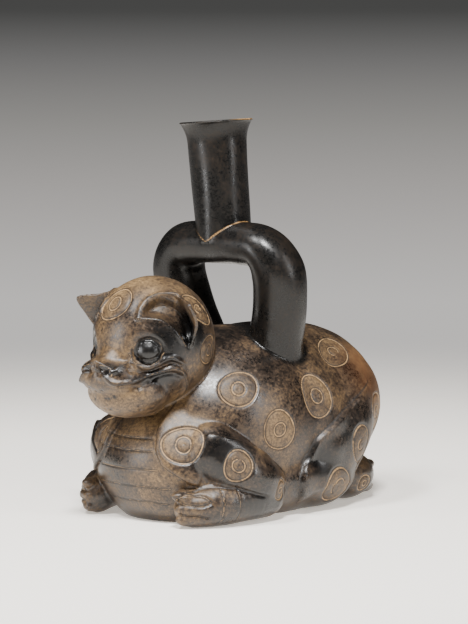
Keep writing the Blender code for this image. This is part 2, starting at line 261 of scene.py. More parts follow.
# The stirrup's tube, or its bore when inset is the wall. It is flatter where it passes under the spout.
def addStirrup(clay, inset=0.0):
    s = vessel["stirrup"]
    line = stirrupLine()
    height = line[:, 2]
    flat = softStep(1 - (s["archHeight"] - height) / (s["radius"] * 1.1))
    wide = s["radius"] + s["flare"] * np.clip(1 - (height - height.min()) / s["flareHeight"], 0, 1) - inset
    tube(clay, line, wide, wide + (s["archDepth"] - s["radius"]) * flat, (0, 1, 0))


# Spout: radius(h) = foot + (neck - foot) h / plain, plus (lip - neck) u^2.2 over the flare, u from 0 to 1.
# The bore keeps the wall, which thins to the edge at the lip.
def spoutMesh(inset=0.0, rows=64, columns=128):
    s = vessel["spout"]
    base = vessel["stirrup"]["archHeight"]
    length = s["top"] - base
    height = np.linspace(0, length, rows)
    plain = length - s["flare"]
    u = np.clip((height - plain) / s["flare"], 0, 1)
    radius = s["foot"] + (s["neck"] - s["foot"]) * np.clip(height / plain, 0, 1)
    radius = radius + (s["lip"] - s["neck"]) * u**2.2
    if inset:
        radius = radius - inset + (inset - s["edge"]) * u**1.5
        height = np.append(height, length + 4)
        radius = np.append(radius, radius[-1])
    else:
        # the rim is rounded over instead of square
        roll = np.linspace(0, math.pi / 2, 7)[1:]
        edge = s["edge"] / 2
        height = np.append(height[:-1], length - edge + edge * np.sin(roll))
        radius = np.append(radius[:-1], radius[-1] - edge + edge * np.cos(roll))
    share = height / length
    y = vessel["stirrup"]["place"] + vessel["stirrup"]["lean"] + s["lean"][1] * share
    path = np.stack([s["lean"][0] * share, y, base + height], 1)
    clay = []
    b = np.linspace(0, 2 * math.pi, columns, endpoint=False)[None]
    # the potter's hand: the wall wanders by a few tenths of a millimetre
    rise = height[:, None]
    wander = 0.0 if inset else 0.35 * np.sin(2 * b + rise / 21) + 0.22 * np.sin(3 * b - rise / 13)
    around = radius[:, None] + wander + 0 * b
    rings = np.stack([path[:, None, 0] + around * np.cos(b), path[:, None, 1] + around * np.sin(b),
                      np.broadcast_to(path[:, None, 2], around.shape)], -1)
    caps = np.array([path[0], path[-1]])
    points = np.vstack([np.repeat(caps[:1], columns, 0), rings.reshape(-1, 3), np.repeat(caps[1:], columns, 0)])
    # the mouth dips to the animal's right front
    share = (points[:, 2] - base) / length
    points[:, 2] += s["tilt"] * share**2 * (0.743 * points[:, 0] + 0.669 * (points[:, 1] - path[-1, 1]))
    clay.append((points, gridFaces(len(path) + 2, columns)))
    return meshOf(clay, "spout")


# One mesh of several, which may overlap
def joined(meshes, name):
    work = bmesh.new()
    for mesh in meshes:
        work.from_mesh(mesh)
    whole = bpy.data.meshes.new(name)
    work.to_mesh(whole)
    work.free()
    return whole


# Welds points that coincide, so that a closed grid has no seams
def welded(mesh):
    work = bmesh.new()
    work.from_mesh(mesh)
    bmesh.ops.remove_doubles(work, verts=work.verts, dist=1e-6)
    bmesh.ops.recalc_face_normals(work, faces=work.faces)
    work.to_mesh(mesh)
    work.free()
    return mesh


# The mesh with the tool added to it or cut out of it. The tool goes.
def boolean(mesh, tool, operation, solver):
    thing = placed(mesh.name, mesh)
    other = placed(tool.name, tool)
    cut = thing.modifiers.new("cut", "BOOLEAN")
    cut.operation = operation
    cut.solver = solver
    cut.object = other
    made = finished(thing)
    bpy.data.objects.remove(other)
    return made


# Ear: p(s, t) = root(s) + t (rim(s) - root(s)), with half the thickness on each side of it
def addEar(clay, side, rows=60, across=10):
    flip = np.array((side, 1, 1))
    rim, root = smoothCurve(vessel["earRim"], rows) * flip, smoothCurve(vessel["earRoot"], rows) * flip
    t = np.linspace(0, 1, across)[None, :, None]
    sheet = root[:, None] + t * (rim - root)[:, None]
    normal = np.cross(np.gradient(sheet, axis=0), np.gradient(sheet, axis=1))
    normal /= np.linalg.norm(normal, axis=2)[:, :, None]
    half = vessel["earThickness"] / 2 * (1 - 0.25 * t)
    loops = np.concatenate([sheet + normal * half, (sheet - normal * half)[:, ::-1]], 1)
    middle = loops.mean(1, keepdims=True) + 0 * loops
    loops = np.concatenate([middle[:1], loops, middle[-1:]])
    clay.append((loops.reshape(-1, 3), gridFaces(rows + 2, 2 * across)))


# The outside of the figure and its stirrup as one skin
def buildSkin(grain):
    clay = []
    for key in ("torso", "belly", "waist", "rump", "chest"):
        lump(clay, *vessel[key])
    for side in (1, -1):
        for key in ("thigh", "haunch", "knee"):
            lump(clay, *vessel[key], side=side)
    body = fused(meshOf(clay, "body"), *fineness["body"])
    clay = []
    for key in ("skull", "bridge", "nose", "jaw"):
        lump(clay, *vessel[key])
    lump(clay, *vessel["muzzle"], blunt=0.85)
    head = fused(meshOf(clay, "head"), *fineness["head"])
    hollowEars(head)
    clay = []
    for side in (1, -1):
        addEar(clay, side)
        lump(clay, *vessel["hindFoot"], side=side)
        for key in ("upperArm", "forearm"):
            limb(clay, vessel[key], side)
        for claw in vessel["foreClaws"] + vessel["hindClaws"]:
            lump(clay, *claw, side=side)
    for key in ("eye", "rightEye"):
        lump(clay, *vessel[key])
    limb(clay, vessel["tail"], count=60)
    addStirrup(clay)
    return fused(joined([body, head, meshOf(clay, "limbs")], "skin"), grain, fineness["skinPasses"])


# The curve drawn onto the skin: each of its points goes to the nearest point of the skin, then all are evened out
def laidOn(points, curve):
    low, high = curve.min(0) - 12, curve.max(0) + 12
    near = points[((points > low) & (points < high)).all(1)]
    if len(near) == 0:
        return curve
    laid = np.array([near[((near - place) ** 2).sum(1).argmin()] for place in curve])
    for _ in range(3):
        laid[1:-1] = (laid[:-2] + 2 * laid[1:-1] + laid[2:]) / 4
    return laid


# For each point: its distance from the curve, its share of the way along it, and how far it is to its left
def beside(points, normals, curve, reach):
    far = np.full(len(points), np.inf)
    along = np.zeros(len(points))
    left = np.zeros(len(points))
    near = np.where(((points > curve.min(0) - reach) & (points < curve.max(0) + reach)).all(1))[0]
    if len(near) == 0:
        return far, along, left
    start, run = curve[:-1], np.diff(curve, axis=0)
    length = np.maximum(np.linalg.norm(run, axis=1), 1e-6)
    offset = points[near, None] - start
    share = np.clip((offset * run).sum(2) / length**2, 0, 1)
    offset = offset - share[:, :, None] * run
    gap = np.linalg.norm(offset, axis=2)
    best = gap.argmin(1)
    rows = np.arange(len(near))
    far[near] = gap[rows, best]
    along[near] = (best + share[rows, best]) / len(run)
    aside = np.cross(normals[near], run[best] / length[best][:, None])
    left[near] = (aside * offset[rows, best]).sum(1)
    return far, along, left


# Hollow of the ears: the head sinks by depth s(past the edge / drop) s(past the front / slope)
def hollowEars(mesh):
    points, normals = pointsOf(mesh), normalsOf(mesh)
    hollow = vessel["earHollow"]
    sunk = np.zeros(len(points))
    for side in (1, -1):
        pastEdge, pastFront = (beside(points, normals, laidOn(points, smoothCurve(hollow[key], 50) * (side, 1, 1)),
                                      hollow["reach"])[2] * side for key in ("edge", "front"))
        sunk += hollow["depth"] * softStep(-pastEdge / hollow["drop"]) * softStep(pastFront / hollow["slope"])
    setPoints(mesh, points - normals * sunk[:, None])


# Carving on the left side, which the right side mirrors. A step is raised on one side of its edge,
# a ridge stands up along its curve, and a groove is cut along its curve.
carving = {
    "steps": (
        # points, height, reach, width of the edge
        (((59, 60, 75), (62, 45, 68), (63, 36, 63), (63, 27, 59), (64, 18, 53), (62, 9, 48), (61, 4, 43),
          (59, -2, 33), (61, -8, 24), (60, -8, 14), (55, -4, 5)), 3.2, 56, 1.8),
        (((19, -71, 71), (17, -76, 64), (16, -82, 57), (19, -89, 49), (21, -90, 42), (26, -90, 35), (33, -87, 30),
          (38, -81, 26), (44, -75, 23)), 2.4, 14, 2.0),
        (((64, -33, 19), (59, -21, 24), (57, -23, 30), (57, -31, 36), (58, -47, 45), (53, -61, 51), (48, -68, 53),
          (42, -73, 54)), 1.5, 10, 1.6),
    ),
    "ridges": (
        # points, height, width
        (((2, -119, 93), (10, -120, 88), (13, -118, 85), (19, -111, 85), (21, -104, 87), (23, -97, 89), (28, -92, 91),
          (32, -87, 92), (33, -81, 90), (32, -76, 84), (26, -72, 77), (19, -73, 72)), 2.0, 1.6),
        (((13, -115, 92), (14, -110, 95), (14, -105, 96), (18, -102, 94), (22, -98, 93), (26, -95, 95), (31, -89, 99),
          (33, -83, 96), (34, -76, 90)), 1.6, 1.5),
        (((17, -101, 121), (21, -97, 121), (25, -91, 119), (28, -87, 115), (32, -84, 111), (35, -80, 105)), 0.9, 1.4),
        (((16, -100, 121), (15, -96, 127), (16, -91, 132), (19, -85, 135), (24, -79, 135), (29, -79, 133)), 1.2, 1.5),
        (((-1, -118, 95.5), (5, -118, 95), (10, -117, 93), (12, -118, 89)), 1.6, 1.4),
        (((14, -105, 101), (15, -104, 97), (18, -102, 94.5), (23, -98, 94), (27, -93, 97), (28, -91, 102)), 0.9, 1.1),
    ),
    "grooves": (
        # points, depth, width, how far from full its paint starts
        (((15, -117, 82), (20, -110, 82), (23, -103, 84), (25, -96, 86), (29, -91, 88), (32, -85, 88.5),
          (32, -80, 86)), 1.2, 1.5, 2.0),
        (((17, -110, 92), (19, -104, 91.5), (23, -98, 90.5), (28, -93, 93), (32, -87, 95.5),
          (34, -81, 93)), 1.1, 1.2, 2.0),
        (((63, 52, 30), (62, 47, 27), (62, 43, 23), (57, 50, 17)), 1.0, 1.2, 0.2),
        (((41, -90, 21), (42, -85, 23), (45, -76, 23), (53, -68, 23), (60, -57, 21), (65, -41, 16)), 0.9, 1.0, 0.35),
        (((54, -71, 24), (57, -72, 17), (58, -72, 10), (56, -72, 3)), 0.45, 0.5, 0.15),
        (((58, -62, 24), (60, -62, 17), (61, -62, 10), (59, -62, 3)), 0.45, 0.5, 0.25),
        (((39, -93, 17.5), (41, -89, 19.5), (44, -84, 20), (48, -79, 18), (51, -76, 15)), 0.8, 0.9, 0.2),
        (((39, -93, 16), (41, -89, 14.5), (45, -85, 13.5), (49, -80, 13.5), (51, -76, 15)), 1.1, 0.9, 0.2),
        (((39, -91, 8.5), (44, -87, 8.5), (48, -83, 8), (52, -78, 6)), 1.2, 1.0, 0.3),
        (((14, -103, 104), (17, -104, 99), (22, -101, 97), (27, -95, 100), (27, -92, 106), (22, -96, 110),
          (16, -101, 108)), 0.9, 0.9, 0.3),
    ),
    # height of each band's line, and how far it runs to the right and to the left
    "chest": {"rows": ((51.5, 27, 19), (43, 29, 17), (32.5, 30, 21), (22, 30, 27), (11, 30, 29)), "front": -93,
              "curl": 0.011, "depth": 0.32, "width": 0.5},
    "nostril": ((4.8, -118.5, 91.5), 3.6, 2.6),
    # worn pits of the chin: middle and half sizes of the place, then count, depth, width and where the draw starts
    "pits": {"place": (0, -104, 76), "half": (22, 14, 8), "count": 90, "depth": 0.7, "width": 0.75,
             "seed": 7},
}

# Spots on the left side, which the right side mirrors: place, half sizes across and up, turn in degrees,
# the inner ring's share of the outer one, and how much of the inner ring is drawn
spots = {
    "shoulderHigh": ((44, -45, 78), 12.0, 10.4, 12, 0.40, 1.0),
    "flankHigh": ((57, 9, 70), 11.0, 13.0, 15, 0.40, 1.0),
    "back": ((44, 41, 93), 13.8, 9.8, 42, 0.38, 0.8),
    "flankLow": ((58, -25, 53), 10.6, 11.6, -10, 0.38, 1.0),
    "shoulder": ((33, -80, 48), 12.2, 11.2, 10, 0.42, 1.0),
    "arm": ((59, -62, 36), 8.6, 9.0, 0, 0.44, 0.9),
    "haunch": ((65, 42, 39), 8.4, 11.5, 14, 0.40, 0.6),
    "knee": ((62, 23, 15), 12.0, 11.0, 0, 0.48, 0.6),
    "rump": ((59, 68, 55), 10.0, 12.0, 0, 0.40, 1.0),
    "rumpHigh": ((30, 78, 86), 12.5, 10.5, 20, 0.38, 0.8),
    "rumpBack": ((26, 98, 50), 10.5, 12.0, 0, 0.40, 1.0),
    "foot": ((53, 61, 11), 6.0, 5.0, 0, 0.40, 1.0),
    "elbow": ((66, -31, 19), 4.5, 6.0, 0, 0.40, 1.0),
    "behindEar": ((31, -64, 126), 12.0, 7.6, -35, 0.36, 0.8),
    "lowHead": ((34, -58, 101), 9.0, 8.5, 0, 0.40, 1.0),
}
middleSpots = {
    "forehead": ((-3, -98, 128), 11.2, 10.2, 25, 0.45, 1.0),
    "neck": ((0, -42, 122), 11.0, 9.5, 0, 0.38, 1.0),
    "tailRoot": ((0, 62, 106), 12.0, 10.0, 0, 0.38, 1.0),
}


# Every spot on both sides: a number that its wobble starts from, and its row
def everySpot():
    for number, row in enumerate(spots.values()):
        for side in (1, -1):
            (x, y, z), across, upward, turn, inner, drawn = row
            yield number + (side < 0) * 0.5, (side * x, y, z), across, upward, side * turn, inner, drawn
    for number, row in enumerate(middleSpots.values()):
        yield (number + 20, *row)


# Signed distances of the points from the spot's outer oval and from its inner ring, negative inside.
# The oval lies in the skin's tangent plane: r(t) = |q| / |(u / across, v / upward)|, with a slight hand wobble.
def besideSpot(points, normals, spot):
    seed, place, across, upward, turn, inner, drawn = spot
    nearest = ((points - place) ** 2).sum(1).argmin()
    centre = points[nearest]
    close = np.where(((points - centre) ** 2).sum(1) < (1.7 * max(across, upward)) ** 2)[0]
    facing = normals[close].mean(0)
    facing /= np.linalg.norm(facing)
    u = np.cross((0, 0, 1) if abs(facing[2]) < 0.97 else (0, 1, 0), facing)
    u /= np.linalg.norm(u)
    v = np.cross(facing, u)
    angle = math.radians(turn)
    u, v = u * math.cos(angle) + v * math.sin(angle), v * math.cos(angle) - u * math.sin(angle)
    depth = np.abs((points[close] - centre) @ facing)
    close = close[(normals[close] @ facing > 0.15) & (depth < 0.6 * max(across, upward))]
    q = points[close] - centre
    a, b = q @ u, q @ v
    reach = np.hypot(a, b)
    t = np.arctan2(b / upward, a / across)
    wobble = 1 + 0.035 * np.sin(2 * t + 5 * seed) + 0.03 * np.sin(3 * t + 3 * seed)
    size = np.maximum(np.hypot(a / across, b / upward), 1e-6)
    outer = reach - reach / size * wobble
    ring = reach - inner * min(across, upward) * (1 + 0.05 * np.sin(2 * t - 2 * seed))
    ring = np.where(np.abs((t + seed) % (2 * math.pi) - math.pi) < math.pi * drawn, ring, 9.0)
    return close, outer, ring


# Every incised line as a curve: points, depth, width, faintness
def everyGroove():
    for points, depth, width, faint in carving["grooves"]:
        for side in (1, -1):
            yield smoothCurve(points, 60) * (side, 1, 1), depth, width, faint
    chest = carving["chest"]
    for height, right, left in chest["rows"]:
        row = [(x, chest["front"] + chest["curl"] * x**2, height) for x in np.linspace(-right, left, 6)]
        yield smoothCurve(row, 60), chest["depth"], chest["width"], 0.2


# How deep in a pit of the chin each point is, from 0 to 1
def pitted(points):
    pits = carving["pits"]
    draw = np.random.default_rng(pits["seed"])
    value = np.zeros(len(points))
    near = np.where((np.abs(points - pits["place"]) < np.array(pits["half"]) + 3).all(1))[0]
    for place in pits["place"] + draw.uniform(-1, 1, (pits["count"], 3)) * pits["half"]:
        away = ((points[near] - place) ** 2).sum(1)
        if away.min() < 9:
            away = ((points[near] - points[near[away.argmin()]]) ** 2).sum(1)
            value[near] = np.maximum(value[near], np.exp(-away / (pits["width"] * draw.uniform(0.5, 1.3)) ** 2))
    return value


# Moves every point along its normal: p + n (steps + ridges - sockets - nostrils - grooves - spots - pits)
def carve(mesh):
    points, normals = pointsOf(mesh), normalsOf(mesh)
    lift = np.zeros(len(points))
    place, reach, depth = vessel["socket"]
    for side in (1, -1):
        flip = np.array((side, 1, 1))
        for edge, height, span, width in carving["steps"]:
            curve = laidOn(points, smoothCurve(edge, 44) * flip)
            far, along, left = beside(points, normals, curve, span)
            fade = (1 - softStep(far / span)) * softStep(along / 0.12) * softStep((1 - along) / 0.08)
            lift += height * softStep(0.5 + side * left / width) * fade
        for edge, height, width in carving["ridges"]:
            curve = laidOn(points, smoothCurve(edge, 70) * flip)
            far, along, left = beside(points, normals, curve, 3 * width)
            lift += height * np.exp(-((far / width) ** 2)) * softStep((1 - along) / 0.15)
        fromSocket = np.linalg.norm(points - flip * place, axis=1)
        eye, half = vessel["eye" if side == 1 else "rightEye"]
        fromEye = np.linalg.norm(points - np.array(eye), axis=1)
        sunk = depth * (1 - softStep(fromSocket / reach))
        lift -= np.where(fromEye > half[0] + 0.4, sunk, 0)
        where, deep, wide = carving["nostril"]
        lift -= deep * np.exp(-(np.linalg.norm(points - flip * where, axis=1) / wide) ** 2)
    for curve, depth, width, faint in everyGroove():
        far, along, left = beside(points, normals, laidOn(points, curve), 3 * width)
        lift -= depth * np.exp(-((far / width) ** 2)) * softStep(along / 0.04) * softStep((1 - along) / 0.04)
    for spot in everySpot():
        close, outer, ring = besideSpot(points, normals, spot)
        lift[close] -= 0.65 * np.exp(-((outer / 0.75) ** 2)) + 0.5 * np.exp(-((ring / 0.65) ** 2))
        lift[close] -= 0.25 * softStep(0.5 - outer / 2)
    lift -= carving["pits"]["depth"] * pitted(points)
    # the hand that shaped it: broad, shallow unevenness
    x, y, z = points.T
    lift += 0.30 * np.sin(x / 11 + 1.3) * np.sin(y / 13 + 0.4) * np.sin(z / 12)
    lift += 0.12 * np.sin(x / 5 + y / 7) * np.sin(z / 6 - y / 8)
    points = pressFlat(points + normals * lift[:, None], 0)
    setPoints(mesh, points)


# The hollow of body and head, with both bores of the stirrup
def cavityMesh():
    clay = []
    for key in ("torso", "belly", "waist", "rump", "chest", "skull"):
        place, half, *turn = vessel[key]
        wall = vessel["headWall"] if key == "skull" else vessel["wall"]
        lump(clay, place, [size - wall for size in half], *turn)
    rooms = fused(meshOf(clay, "rooms"), *fineness["rooms"])
    setPoints(rooms, pressFlat(pointsOf(rooms), vessel["wall"]))
    clay = []
    addStirrup(clay, vessel["wall"])
    cavity = fused(joined([rooms, meshOf(clay, "bores")], "cavity"), *fineness["cavity"])
    return thinned(cavity, fineness["cavityTriangles"])


# Patches on both sides: strength * exp(-|(p - place) / half|^3), the strongest one at each point
def patches(points, rows):
    value = np.zeros(len(points))
    for place, half, strength in rows:
        for side in (1, -1):
            away = (points - np.array(place) * (side, 1, 1)) / half
            value = np.maximum(value, strength * np.exp(-((away**2).sum(1)) ** 1.5))
    return value


# Distances and patches that the material reads, kept with the mesh as one value a point
def paint(mesh):
    points, normals = pointsOf(mesh), normalsOf(mesh)
    lineReach = 6.0  # distances from a line are kept up to here, in millimetres
    line = np.full(len(points), lineReach)
    inside = np.zeros(len(points))
    for curve, depth, width, faint in everyGroove():
        far = beside(points, normals, laidOn(points, curve), lineReach)[0]
        line = np.minimum(line, far + faint)
    # the edges of steps and the crests of ridges get a fainter line: pale, partly a painted highlight, with painted
    # shade beside it
    for edges, faint in ((carving["steps"], 0.4), (carving["ridges"], 0.2)):
        for edge, *sizes in edges:
            for side in (1, -1):
                curve = laidOn(points, smoothCurve(edge, 70) * (side, 1, 1))
                line = np.minimum(line, beside(points, normals, curve, lineReach)[0] + faint)
    for spot in everySpot():
        close, outer, ring = besideSpot(points, normals, spot)
        line[close] = np.minimum(line[close], np.minimum(np.abs(outer), np.abs(ring)))
        inside[close] = np.maximum(inside[close], softStep(0.5 - outer / 1.2))
    dark = patches(points, darkPatches)
    for eye, half in (vessel["eye"], vessel["rightEye"]):
        fromEye = np.linalg.norm(points - np.array(eye), axis=1)
        dark = np.maximum(dark, 1.1 * softStep((half[0] + 1.0 - fromEye) / 0.8))
    dark = np.maximum(dark, 1.2 * pitted(points))
    s, t = vessel["stirrup"], vessel["spout"]
    fromStirrup = beside(points, normals, stirrupLine(60), 24)[0]
    tube = softStep((s["radius"] + 3.2 - fromStirrup) / 1.2) * softStep((points[:, 2] - 84) / 6)
    share = (points[:, 2] - s["archHeight"]) / (t["top"] - s["archHeight"])
    middle = s["place"] + s["lean"] + t["lean"][1] * share
    fromSpout = np.hypot(points[:, 0] - t["lean"][0] * share, points[:, 1] - middle)
    spout = softStep((points[:, 2] - 160) / 4) * softStep((26 - fromSpout) / 4)
    # where the spout, r = foot, stands on the arch: z = archHeight + archDepth sqrt(1 - (y / radius)^2)
    b = np.linspace(0, 2 * math.pi, 120)
    y = t["foot"] * np.sin(b)
    saddle = s["archHeight"] + s["archDepth"] * np.sqrt(np.maximum(1 - (y / s["radius"]) ** 2, 0))
    saddle = np.stack([t["foot"] * np.cos(b) - 0.3, y + s["place"] + s["lean"] - 0.2, saddle], 1)
    seam = beside(points, normals, saddle, 9)[0]
    rim = np.clip(t["top"] + 0.9 - points[:, 2], 0, 9.0)
    tan = patches(points, tanPatches)
    for name, values in (("line", line), ("inside", inside), ("dark", dark), ("tube", np.maximum(tube, spout)),
                         ("seam", np.minimum(seam, rim)), ("tan", tan), ("blush", patches(points, blushPatches))):
        layer = mesh.attributes.new(name, "FLOAT", "POINT")
        layer.data.foreach_set("value", np.asarray(values, np.float32))


# Smoke-blackened, pale and reddish places on both sides: place, half sizes, strength. The ear's dark patch is also
# painted shade in its hollow, and the last two dark ones make the lower body darker towards the floor.
darkPatches = (
    ((48, -62, 40), (20, 22, 15), 1.0),
    ((55, -45, 30), (14, 20, 12), 0.8),
    ((64, -44, 13), (13, 19, 12), 0.9),
    ((57, 12, 30), (16, 17, 16), 0.9),
    ((60, 34, 46), (12, 16, 16), 0.45),
    ((28, -90, 108), (15, 15, 13), 0.8),
    # the ear: black clay, and painted shade in its hollow
    ((35, -74, 116), (9, 9, 14), 1.0),
    ((27, -95, 87), (12, 18, 5), 1.0),
    ((30, -88, 82), (9, 14, 5), 0.5),
    ((12, -117, 93), (10, 8, 4), 0.7),
    ((24, 4, 108), (22, 22, 12), 0.7),
    ((10, -30, 108), (26, 16, 12), 0.6),
    ((46, -14, 88), (14, 16, 14), 0.35),
    ((62, -4, 60), (12, 24, 14), 0.4),
    # these two make the lower body darker towards the floor
    ((30, -72, 8), (50, 45, 22), 0.2),
    ((50, 10, 10), (30, 80, 26), 0.3),
)
tanPatches = (
    ((10, -104, 76), (18, 12, 10), 0.9),
    ((0, -75, 140), (30, 30, 12), 0.7),
    ((40, -84, 14), (14, 14, 14), 0.6),
    ((0, -90, 52), (30, 12, 12), 0.6),
    ((0, -84, 14), (30, 16, 12), 0.5),
)
blushPatches = (
    ((50, 66, 78), (16, 26, 22), 0.5),
    ((30, 96, 60), (26, 20, 26), 0.35),
)


# sRGB hex to linear: c / 12.92 up to 0.04045, and ((c + 0.055) / 1.055)^2.4 above
def fromHex(code):
    channels = [int(code[i:i + 2], 16) / 255 for i in (1, 3, 5)]
    return [c / 12.92 if c <= 0.04045 else ((c + 0.055) / 1.055) ** 2.4 for c in channels] + [1]


# Adds a node, sets its properties, and joins or sets its inputs
def node(tree, kind, inputs=(), **settings):
    made = tree.nodes.new(kind)
    for key, value in settings.items():
        setattr(made, key, value)
    for key, value in dict(inputs).items():
        if isinstance(value, bpy.types.NodeSocket):
            tree.links.new(value, made.inputs[key])
        else:
            made.inputs[key].default_value = value
    return made


# Colours run from the blackest to the palest clay, and roughness goes from black to brown
finish = {
    "brown": ((0.0, "#0b0a0a"), (0.18, "#191512"), (0.36, "#352a21"), (0.54, "#58452f"), (0.74, "#7f6543"),
              (0.95, "#aa8a5e")),
    "black": ((0.0, "#080808"), (0.42, "#131211"), (0.66, "#231c16"), (1.0, "#46372a")),
    "brownShift": 0.415, "blackShift": 0.42,
    # beside the lines the colour is painted shade, and the pale line colour is a painted highlight along raised edges
    # as well as bare clay
    "blush": "#74492a", "speckle": "#15120f", "lineShade": "#17120f", "paleClayAndHighlight": "#a08058", "seam": "#a07c50",
    "roughness": (0.25, 0.38), "gloss": (0.5, 0.3),
}


# Earthenware, burnished with a stone before it was fired in smoke: brown where air reached it, black where it
# didn't. The eye sees soft highlights on the brown and crisper ones on the black, scratches of pale bare clay, and
# painted highlights and painted shade along raised edges and lines.
def burnishedClay():
    material = bpy.data.materials.new("burnished earthenware")
    material.use_nodes = True
    tree = material.node_tree
    tree.nodes.clear()
    place = node(tree, "ShaderNodeTexCoord").outputs["Object"]

    def read(name):
        return node(tree, "ShaderNodeAttribute", attribute_name=name).outputs["Fac"]

    def noise(scale, detail=4.0, rough=0.55):
        return node(tree, "ShaderNodeTexNoise", {"Vector": place, "Scale": scale, "Detail": detail,
                    "Roughness": rough}).outputs["Fac"]

    # A value carried from one span onto another, smoothly, and held at the ends
    def span(value, low, high, first=0.0, last=1.0):
        return node(tree, "ShaderNodeMapRange", {"Value": value, "From Min": low, "From Max": high, "To Min": first,
                    "To Max": last}, interpolation_type="SMOOTHSTEP").outputs["Result"]

    def maths(operation, a, b=0.0):
        return node(tree, "ShaderNodeMath", {0: a, 1: b}, operation=operation).outputs[0]

    def mixed(share, first, last):
        return node(tree, "ShaderNodeMix", {0: share, 6: first, 7: last}, data_type="RGBA").outputs[2]

    def ramp(value, stops):
        made = node(tree, "ShaderNodeValToRGB", {"Fac": value})
        elements = made.color_ramp.elements
        while len(elements) < len(stops):
            elements.new(0.5)
        for element, (where, code) in zip(elements, stops):
            element.position, element.color = where, fromHex(code)
        return made.outputs["Color"]

    def weighted(*pairs):
        total = 0.0
        for value, weight in pairs:
            total = maths("ADD", maths("MULTIPLY", value, weight), total)
        return total

    # patches about 60 and 17 mm wide, and grain of 4 and 1.6 mm, coarser than real grain so that it shows
    broad, cloudy, fine, speck = noise(16), noise(60, 5), noise(230, 6, 0.7), noise(620, 3, 0.7)
    line, inside, dark, tube, seam, tan = (read(name) for name in ("line", "inside", "dark", "tube", "seam", "tan"))
    # tone: about 0.5 on plain clay, lower where smoke blackened it, higher where it stayed pale
    mottle = weighted((maths("SUBTRACT", broad, 0.5), 0.55), (maths("SUBTRACT", cloudy, 0.5), 0.60),
                      (maths("SUBTRACT", fine, 0.5), 0.50), (maths("SUBTRACT", speck, 0.5), 0.95))
    tone = weighted((mottle, 1.0), (tan, 0.22), (dark, -0.50), (inside, 0.10),
                    (maths("MULTIPLY", dark, inside), 0.34))
    shade = maths("ADD", tone, finish["brownShift"])
    body = ramp(shade, finish["brown"])
    warm = maths("MULTIPLY", read("blush"), span(cloudy, 0.3, 0.7, 0.5, 1.0))
    body = mixed(warm, body, fromHex(finish["blush"]))
    body = mixed(tube, body, ramp(maths("ADD", mottle, finish["blackShift"]), finish["black"]))
    speckle = maths("MULTIPLY", span(fine, 0.52, 0.72), span(speck, 0.5, 0.6))
    body = mixed(maths("MULTIPLY", speckle, 0.7), body, fromHex(finish["speckle"]))
    # an incised line bares pale clay, and the dark band beside it is painted shade
    core = maths("MULTIPLY", span(line, 0.55, 0.15), span(fine, 0.35, 0.55, 0.35, 1.0))
    shadeBeside = maths("MULTIPLY", span(line, 0.25, 0.55), span(line, 1.25, 0.7))
    body = mixed(maths("MULTIPLY", shadeBeside, 0.8), body, fromHex(finish["lineShade"]))
    # the pale line is bare clay in incised lines, and partly a painted highlight along ridge crests and step edges
    body = mixed(core, body, fromHex(finish["paleClayAndHighlight"]))
    bared = maths("MULTIPLY", span(seam, 0.75, 0.25), span(fine, 0.4, 0.55, 0.3, 1.0))
    body = mixed(bared, body, fromHex(finish["seam"]))
    matte = maths("MAXIMUM", maths("MULTIPLY", inside, 0.6), span(line, 1.2, 0.6))
    matte = maths("MAXIMUM", matte, maths("MULTIPLY", tan, 0.7))
    # black clay took the higher burnish, brown clay is duller
    rough = weighted((span(cloudy, 0.3, 0.7), 0.08), (matte, 0.16), (speckle, 0.15), (tube, -0.08))
    rough = maths("ADD", rough, span(shade, 0.155, 0.505, *finish["roughness"]))
    # strokes of the burnishing stone, about 4 mm wide and a twentieth of a millimetre deep, with the clay's grain
    # where it is not black, and shallow pores
    grainy = maths("MULTIPLY", maths("SUBTRACT", 1.0, maths("MAXIMUM", tube, span(dark, 0.0, 0.7))), fine)
    height = weighted((noise(240, 1.5, 0.4), 0.00005), (grainy, 0.00004), (speckle, -0.00003))
    bump = node(tree, "ShaderNodeBump", {"Height": height, "Distance": 1.0, "Strength": 1.0})
    shader = node(tree, "ShaderNodeBsdfPrincipled", {"Base Color": body, "Roughness": rough,
                  "Normal": bump.outputs[0], "Specular IOR Level": span(tube, 0.0, 1.0, *finish["gloss"])})
    node(tree, "ShaderNodeOutputMaterial", {"Surface": shader.outputs[0]})
    return material


# The carved skin and the spout in one mesh, with the cavity and the spout's bore cut out of it
def buildVessel():
    skin = buildSkin(fineness["skin"])
    print("skin", len(skin.polygons))
    carve(skin)
    skin = thinned(skin, fineness["skinTriangles"])
    skin = boolean(welded(skin), welded(spoutMesh()), "UNION", "MANIFOLD")
    skin = boolean(skin, welded(cavityMesh()), "DIFFERENCE", "MANIFOLD")
    skin = boolean(skin, welded(spoutMesh(vessel["wall"])), "DIFFERENCE", "MANIFOLD")
    print("hollow", len(skin.polygons))
    skin.name = "felineVessel"
    paint(skin)
    skin.materials.clear()
    skin.materials.append(burnishedClay())
    skin.shade_smooth()
    piece = placed("felineVessel", skin)
    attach(piece, "root")
    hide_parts("vessel")
    return piece


# Pale studio paper that fades into the backdrop's grey away from the vessel, in metres. Its faint glow stands in
# for the wide, bright floor of the studio.
paper = {"half": 2.5, "fade": (0.25, 1.1), "colour": "#f7f2ea", "roughness": 0.8, "glow": ("#fff6ea", 0.48)}


